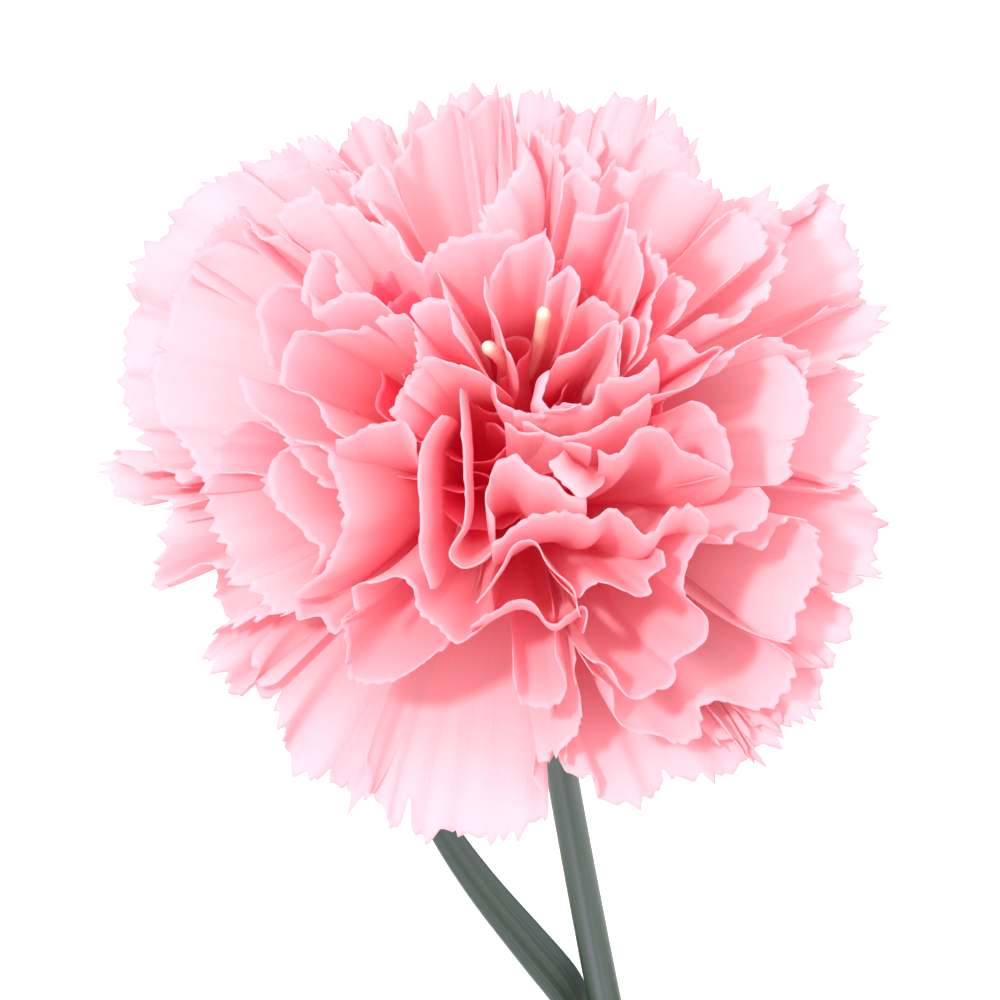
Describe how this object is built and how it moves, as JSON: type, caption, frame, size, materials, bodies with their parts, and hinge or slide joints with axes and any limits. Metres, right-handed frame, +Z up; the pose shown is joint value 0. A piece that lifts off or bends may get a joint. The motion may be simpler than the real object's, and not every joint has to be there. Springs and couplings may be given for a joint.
{
  "type": "cut carnation",
  "caption": "Cut pink carnation lying on its side: ruffled double bloom, pistil, green calyx, jointed stem and narrow channelled leaves.",
  "frame": {"origin": "middle of the bottom of the bounding box, on the surface that the flower lies on", "axes": "+Z up, +Y from the bloom along the stem to its cut end, +X to the right when looking from the bloom along the stem"},
  "size_m": [0.0918, 0.2324, 0.0697],
  "materials": {
    "petals": "soft, thin and slightly translucent",
    "pistil": "smooth, waxy",
    "calyx": "waxy, finely ribbed",
    "stem": "waxy bloom",
    "leaves": "waxy blue-grey bloom"
  },
  "bodies": {
    "root": {"bloom": "petals", "pistil": "pistil", "calyx": "calyx", "stem": "stem", "leaf_upper_left": "leaves", "leaf_upper_right": "leaves", "leaf_lower_top": "leaves", "leaf_lower_side": "leaves"}
  },
  "joints": []
}
